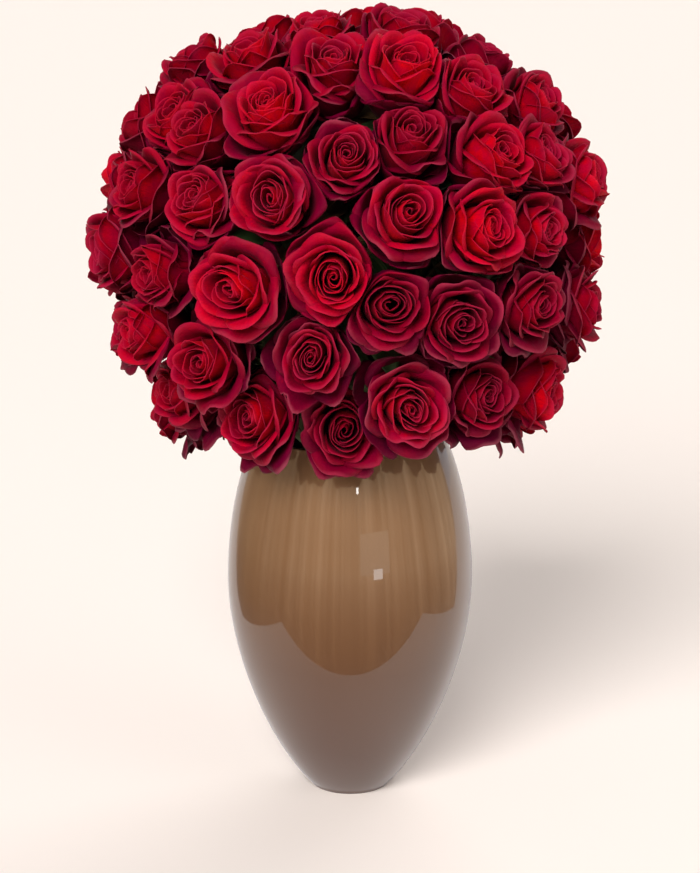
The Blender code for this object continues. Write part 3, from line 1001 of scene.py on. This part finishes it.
# What shines back from the glaze: the pale surface that the vase stands on, this far in front of it and
# to its sides, dimmed to this share, a pale backdrop that starts this wide and widens by these slopes,
# a warm room round it, dimmer near the vase, and three panes
SURFACE_FRONT = 0.18
SURFACE_LEFT, SURFACE_RIGHT = 0.33, 0.405
FLOOR_SHINE = 0.74
SURFACE_SHINE = (0.62, 0.63, 0.69)
ROOM = (1.10, 0.74, 0.44)
ROOM_LOW = (0.42, 0.20, 0.07)
BACKDROP_HALF = 0.2
BACKDROP_LEFT, BACKDROP_RIGHT = 0.85, 1.65
PANE_ORIGIN = 0.2
SUN_COLOUR = (1.0, 0.97, 0.94)


def streaked(n, x, y, colour):
    """The room's colour in soft upright streaks, by the azimuth of a place or direction."""
    azimuth = n.math("ARCTAN2", x, n.times(y, -1))
    bands = n.noise(n.combine(n.times(azimuth, 5.0), 0.0, 0.0), 1.0, detail=4, roughness=0.65)
    dark_or_light = n.ramp(bands, (0.38, (0.45, 0.42, 0.36)), (0.62, (1.28, 1.32, 1.38)))
    colour = n.mix(1.0, colour, dark_or_light, blend="MULTIPLY")
    to_left = n.ramp(n.times(azimuth, -0.5), (0.40, (1, 1, 1)), (0.95, (0.35, 0.33, 0.28)))
    return n.mix(1.0, colour, to_left, blend="MULTIPLY")


def past_sides(n, x, y, half, left, right):
    """Whether a place or direction is beside the pale surface and the backdrop behind it."""
    right_edge = n.math("MAXIMUM", n.math("ADD", n.times(y, BACKDROP_RIGHT), half), right)
    left_edge = n.math("MAXIMUM", n.math("ADD", n.times(y, BACKDROP_LEFT), half), left)
    return n.math(
        "MAXIMUM",
        n.math("GREATER_THAN", x, right_edge),
        n.math("GREATER_THAN", n.times(x, -1), left_edge),
    )


def add_plane(name, size):
    """A square of the stage, and the nodes of its material."""
    bpy.ops.mesh.primitive_plane_add(size=size)
    plane = bpy.context.object
    plane.name = name
    n = Nodes(bpy.data.materials.new(name))
    plane.data.materials.append(n.owner)
    return plane, n


def make_floor():
    """A plain pale floor, clear from below. Glossy surfaces see it near the vase, then the room."""
    floor, n = add_plane("floor", FLOOR_SIZE)
    ray = n.new("LightPath")
    dimmed = tuple(FLOOR_SHINE * part for part in FLOOR_COLOUR)
    colour = n.mix(ray.outputs["Is Glossy Ray"], FLOOR_COLOUR, dimmed)
    n.finish(colour, FLOOR_ROUGHNESS, Specular_IOR_Level=0.0)
    geometry = n.new("NewGeometry")
    place = geometry.outputs["Position"]
    x, y, _ = n.split(place)
    to_side = past_sides(n, x, y, BACKDROP_HALF, SURFACE_LEFT, SURFACE_RIGHT)
    in_front = n.math("LESS_THAN", y, -SURFACE_FRONT)
    beyond = n.math("MAXIMUM", to_side, in_front)
    far = n.new("VectorMath", operation="LENGTH")
    n.link(place, far.inputs[0])
    room = n.ramp(n.times(far.outputs["Value"], 0.4), (0.06, ROOM_LOW), (0.55, ROOM))
    glow = n.new("Emission")
    n.link(streaked(n, x, y, room), glow.inputs[0])
    both = n.new("MixShader")
    n.link(n.times(beyond, ray.outputs["Is Glossy Ray"]), both.inputs[0])
    n.link(n.shader.outputs[0], both.inputs[1])
    n.link(glow.outputs[0], both.inputs[2])
    from_below = n.times(geometry.outputs["Backfacing"], ray.outputs["Is Camera Ray"])
    seen = n.new("MixShader")
    n.link(from_below, seen.inputs[0])
    n.link(both.outputs[0], seen.inputs[1])
    n.link(n.new("BsdfTransparent").outputs[0], seen.inputs[2])
    n.link(seen.outputs[0], n.tree.nodes["Material Output"].inputs[0])


def make_surroundings():
    """A pale soft light all round, and in reflections a warm room with a pale backdrop."""
    world = bpy.data.worlds.new("surroundings")
    bpy.context.scene.world = world
    n = Nodes(world)
    background = n.tree.nodes["Background"]
    ray = n.new("LightPath")
    x, y, _ = n.split(n.new("TexCoord").outputs["Generated"])
    reflected = n.mix(past_sides(n, x, y, 0, 0, 0), SURFACE_SHINE, streaked(n, x, y, ROOM))
    n.link(n.mix(ray.outputs["Is Glossy Ray"], PALE, reflected), background.inputs["Color"])
    strength = n.new("MapRange")
    strength.inputs["To Min"].default_value = WORLD_LIT
    strength.inputs["To Max"].default_value = WORLD_SEEN
    seen = n.math("MAXIMUM", ray.outputs["Is Camera Ray"], ray.outputs["Is Glossy Ray"])
    n.link(seen, strength.inputs["Value"])
    n.link(strength.outputs["Result"], background.inputs["Strength"])


def add_pane(name, azimuth, elevation, distance, width, height, brightness, colour=(1, 0.97, 0.93)):
    """A bright upright pane that shows only in reflections, in this direction from the vase's front."""
    pane, n = add_plane(name, 1)
    turn, climb = math.radians(azimuth), math.radians(elevation)
    level = distance * math.cos(climb)
    up = PANE_ORIGIN + distance * math.sin(climb)
    pane.location = (level * math.sin(turn), -level * math.cos(turn), up)
    pane.rotation_euler = (math.pi / 2, 0, turn)
    pane.scale = (width, height, 1)
    glow = n.new("Emission")
    glow.inputs[0].default_value = (*colour, 1)
    glow.inputs[1].default_value = brightness
    n.link(glow.outputs[0], n.tree.nodes["Material Output"].inputs[0])
    for ray in ("camera", "diffuse", "shadow", "transmission"):
        setattr(pane, "visible_" + ray, False)


def add_lamp(name, kind, energy, shining, place=(0, 0, 0), **values):
    """A light of this kind that shines in this direction and doesn't show in reflections."""
    light = bpy.data.lights.new(name, kind)
    light.energy = energy
    for value, setting in values.items():
        setattr(light, value, setting)
    lamp = put(name, light)
    lamp.location = place
    lamp.rotation_euler = Vector(shining).to_track_quat("-Z", "Y").to_euler()
    lamp.visible_glossy = False


def add_camera():
    camera = put("camera", bpy.data.cameras.new("camera"))
    camera.location = (0, -1.35, 0.545)
    camera.rotation_euler = (math.radians(90 - 12.6), 0, 0)
    camera.data.lens = 85.6
    camera.data.sensor_width = 36
    bpy.context.scene.camera = camera


# ---- everything together


def make_roses(roses, petals, greens):
    rng = np.random.default_rng(11)
    bulges = rng.uniform(-PRESSING, PRESSING, (len(roses), len(roses)))
    for number, rose in enumerate(roses):
        rose.number = number
    for rose in roses:
        rng = np.random.default_rng(100 + rose.number)
        rose.turn = turned_to(rose, rng)
        if rose.number in BRIGHT_ROSES:
            shade = 0
        elif rose.number in DARK_ROSES:
            shade = 1
        else:
            shade = rng.uniform(*OTHER_SHADES)
        flower = bloom(rng, rng.uniform(LEAST_OPENED, MOST_OPENED), rng.uniform(0, OLDEST), shade)
        oval = 1 + rng.uniform(-OVALNESS, OVALNESS, 2)
        drift = rng.normal(0, DRIFT, 2)
        squeeze, heading = rng.uniform(0, HEART_SQUEEZE), rng.uniform(0, 2 * math.pi)

        def place(points):
            shaped = squeezed(points, squeeze, heading) * rose.size * (*oval, 1)
            shaped[:, :2] += drift * np.clip(points[:, 2:] / HEAD_LENGTH, 0, 1) ** 2
            world = shaped @ rose.turn.T + np.array(rose.base)
            return pressed(world, rose, roses, bulges)

        name = f"rose_{rose.number + 1:02d}"
        blooms = flower.piece(name + "_petals", petals, place)
        parts = Parts()
        add_stem(parts, rose, rng)
        add_sepals(parts, rose, rng)
        add_leaves(parts, rose, rng)
        stem = parts.piece(name + "_stem", greens)
        for piece, slot in ((blooms, "petals"), (stem, "stems")):
            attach(piece, "root")
            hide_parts(rose.node)


def main():
    roses = lay_out()
    make_roses(roses, petal_material(), green_material())
    vase = make_vase(glaze_material())
    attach(vase, "root")
    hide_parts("vase")
    make_floor()
    make_surroundings()
    add_pane("tall_pane", 7.7, 27, 1.5, 0.05, 0.42, 12)
    add_pane("low_pane", 25.0, -7.5, 1.2, 0.17, 0.065, 3.6)
    add_pane("dim_pane", 22.5, -1.0, 1.3, 0.62, 0.30, 1.2, (1.0, 0.80, 0.58))
    add_lamp("key", "SUN", 3.8, (0.30, 0.93, -0.58), angle=math.radians(34), color=SUN_COLOUR)
    add_lamp("from_behind", "SUN", 1.7, (-0.35, -0.90, -0.45), angle=math.radians(60), color=SUN_COLOUR)
    add_lamp("fill", "AREA", 6, (-1.6, 1.2, -0.6), place=(1.6, -1.2, 0.9), shape="DISK", size=1.2)
    add_camera()
    bpy.context.scene.view_settings.view_transform = "Standard"


main()
